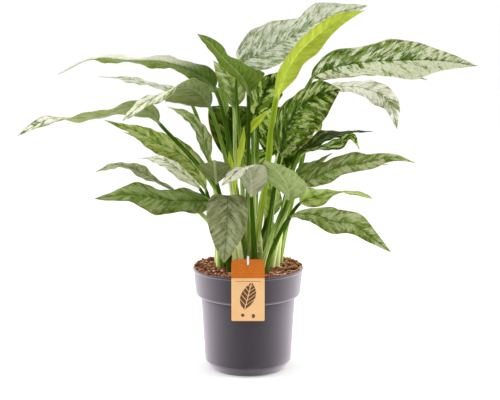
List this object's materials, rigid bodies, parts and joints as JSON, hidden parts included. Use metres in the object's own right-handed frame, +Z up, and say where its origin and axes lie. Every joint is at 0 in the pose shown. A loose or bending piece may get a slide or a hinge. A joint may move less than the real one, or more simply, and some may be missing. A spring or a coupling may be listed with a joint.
{
  "type": "potted chinese evergreen",
  "caption": "Leafy chinese evergreen plant with mottled lance-shaped leaves on long stalks, growing in a round dark plastic nursery pot with a hanging card tag.",
  "frame": {"origin": "centre of the pot's underside, on the surface that the pot stands on", "axes": "+Z up along the pot's axis, +X to the right of someone facing the tag, -Y to the front, where the tag hangs"},
  "size_m": [0.6704, 0.3925, 0.5632],
  "materials": {
    "pot": "satin",
    "soil": "matte",
    "tag": "satin",
    "hook": "satin",
    "cane": "satin",
    "leaf_green": "satin",
    "leaf_silver": "satin",
    "leaf_young": "satin"
  },
  "bodies": {
    "root": {"pot": "pot", "soil": "soil", "tag": "tag", "tag_hook": "hook", "cane_middle": "cane", "cane_left": "cane", "cane_front_left": "cane", "cane_front_right": "cane", "cane_right": "cane", "cane_back_right": "cane", "cane_back_left": "cane", "cane_far_right": "cane", "cane_far_left": "cane", "cane_back": "cane", "leaf_01": "leaf_green", "leaf_02": "leaf_silver", "leaf_03": "leaf_green", "leaf_04": "leaf_green", "leaf_05": "leaf_green", "leaf_06": "leaf_silver", "leaf_07": "leaf_silver", "leaf_08": "leaf_green", "leaf_09": "leaf_green", "leaf_10": "leaf_green", "leaf_11": "leaf_silver", "leaf_12": "leaf_green", "leaf_13": "leaf_green", "leaf_14": "leaf_silver", "leaf_15": "leaf_green", "leaf_16": "leaf_young", "leaf_17": "leaf_green", "leaf_18": "leaf_silver", "leaf_19": "leaf_green", "leaf_20": "leaf_green", "leaf_21": "leaf_green", "leaf_22": "leaf_green", "leaf_23": "leaf_green", "leaf_24": "leaf_green", "leaf_25": "leaf_green", "leaf_26": "leaf_silver", "leaf_27": "leaf_green", "leaf_28": "leaf_silver", "leaf_29": "leaf_green", "leaf_30": "leaf_green", "leaf_31": "leaf_green", "leaf_32": "leaf_green", "leaf_33": "leaf_green", "leaf_34": "leaf_green", "leaf_35": "leaf_green", "leaf_36": "leaf_green", "leaf_37": "leaf_green", "leaf_38": "leaf_green", "leaf_39": "leaf_green"}
  },
  "joints": []
}
